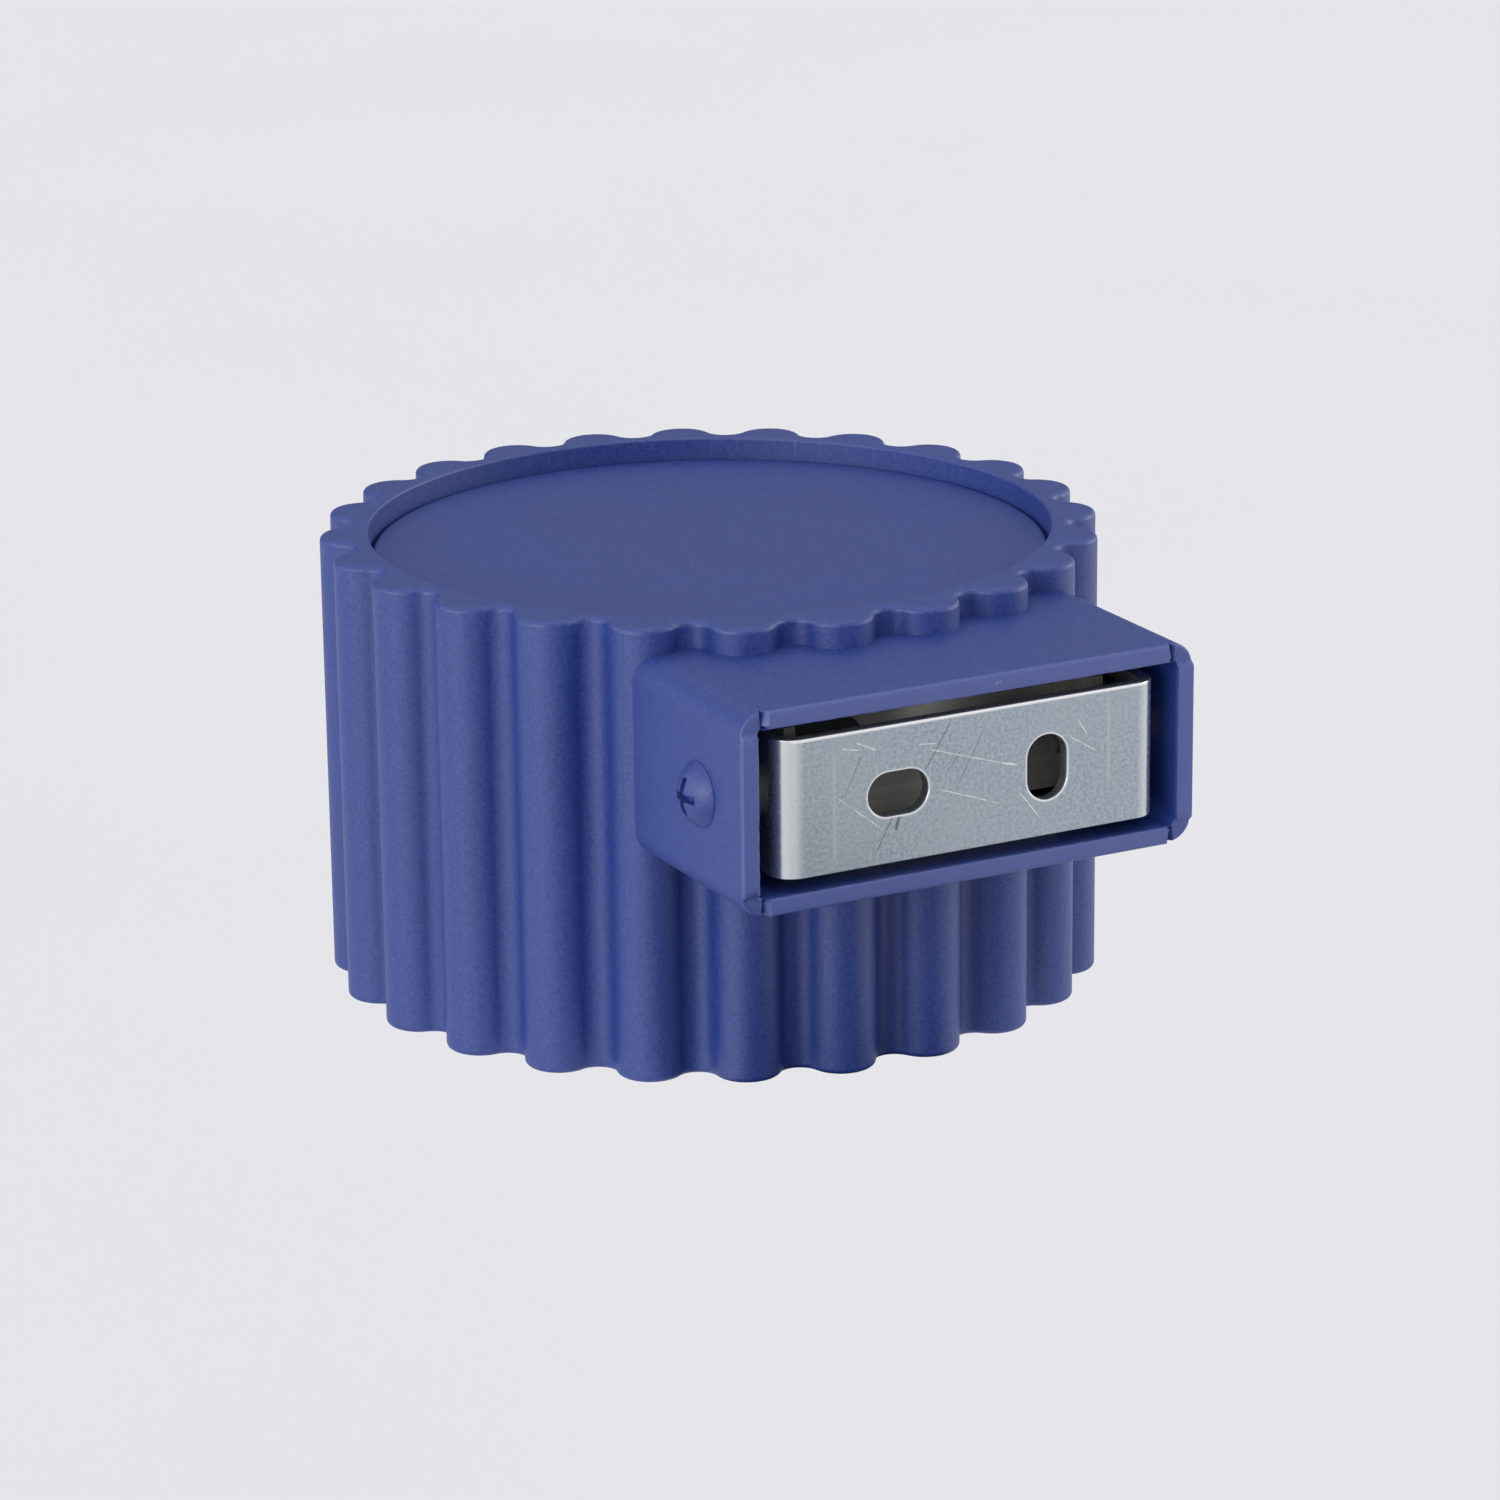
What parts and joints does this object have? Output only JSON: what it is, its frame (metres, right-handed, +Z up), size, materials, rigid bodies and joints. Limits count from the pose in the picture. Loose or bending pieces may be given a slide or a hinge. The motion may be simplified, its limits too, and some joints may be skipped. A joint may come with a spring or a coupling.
{
  "type": "wall lamp",
  "caption": "Fluted drum wall fixture with a let-in top disc, and a folded rear housing that slips over a slotted U bracket and is held by side screws.",
  "frame": {"origin": "centre of the wall bracket's wall face", "axes": "+Z up along the drum's axis, -Y into the wall, +X to the right as seen from the wall"},
  "size_m": [0.0992, 0.1172, 0.0582],
  "materials": {
    "blue_paint": "satin fine-textured powder coat",
    "blue_screw": "satin paint",
    "zinc": "bright zinc plate",
    "steel": "dull zinc plate",
    "brass": "plain",
    "white_plastic": "moulded",
    "black_plastic": "moulded",
    "rubber": "matt",
    "opal": "opal",
    "white_board": "white solder mask",
    "green_board": "green solder mask",
    "phosphor": "yellow phosphor",
    "brown_wire": "PVC",
    "blue_wire": "PVC",
    "green_wire": "PVC, green and yellow"
  },
  "bodies": {
    "bracket": {"wall_bracket": "zinc"},
    "fixture": {"drum": "blue_paint", "top_disc": "blue_paint", "rear_housing": "blue_paint", "clamp_spacers": "steel", "rear_tray": "steel", "tray_screws": "zinc", "cable_grommet": "rubber", "cord_clamp": "white_plastic", "cord_clamp_screws": "zinc", "mounting_plate": "steel", "plate_standoffs": "zinc", "plate_screws": "zinc", "terminal_block": "white_plastic", "terminal_clamps": "brass", "terminal_screws": "zinc", "terminal_fixing": "zinc", "earth_screw": "zinc", "earth_tag": "brass", "lampholder": "white_plastic", "lampholder_contacts": "brass", "lampholder_screws": "zinc", "bezel_ring": "blue_paint", "bezel_screws": "zinc", "wire_live": "brown_wire", "wire_neutral": "blue_wire", "wire_earth": "green_wire"},
    "screw_left": {"clamp_screw_left": "blue_screw"},
    "screw_right": {"clamp_screw_right": "blue_screw"},
    "nut_left": {"clamp_nut_left": "zinc"},
    "nut_right": {"clamp_nut_right": "zinc"},
    "lamp": {"lamp_shell": "white_plastic", "lamp_pins": "zinc", "led_board": "white_board", "led_chips": "phosphor", "lamp_diffuser": "opal", "driver_board": "green_board", "driver_parts": "black_plastic"}
  },
  "joints": [
    {"name": "fixture_slide", "type": "slide", "parent": "bracket", "child": "fixture", "axis": [0, 1, 0], "range_m": [0, 0.0215]},
    {"name": "screw_left_turn", "type": "hinge", "parent": "fixture", "child": "screw_left", "pos_m": [-0.03, 0.0113, 0], "axis": [-1, 0, 0], "range_deg": [0, 720]},
    {"name": "screw_right_turn", "type": "hinge", "parent": "fixture", "child": "screw_right", "pos_m": [0.03, 0.0113, 0], "axis": [1, 0, 0], "range_deg": [0, 720]},
    {"name": "nut_left_travel", "type": "slide", "parent": "fixture", "child": "nut_left", "axis": [1, 0, 0], "range_m": [0, 0.0014]},
    {"name": "nut_right_travel", "type": "slide", "parent": "fixture", "child": "nut_right", "axis": [-1, 0, 0], "range_m": [0, 0.0014]},
    {"name": "lamp_twist", "type": "hinge", "parent": "fixture", "child": "lamp", "pos_m": [0, 0.0676, -0.03], "axis": [0, 0, -1], "range_deg": [0, 17]}
  ],
  "couplings": [
    {"joint": "screw_left_turn", "follows": "nut_left_travel", "rad_per_m": 8976},
    {"joint": "screw_right_turn", "follows": "nut_right_travel", "rad_per_m": 8976}
  ]
}
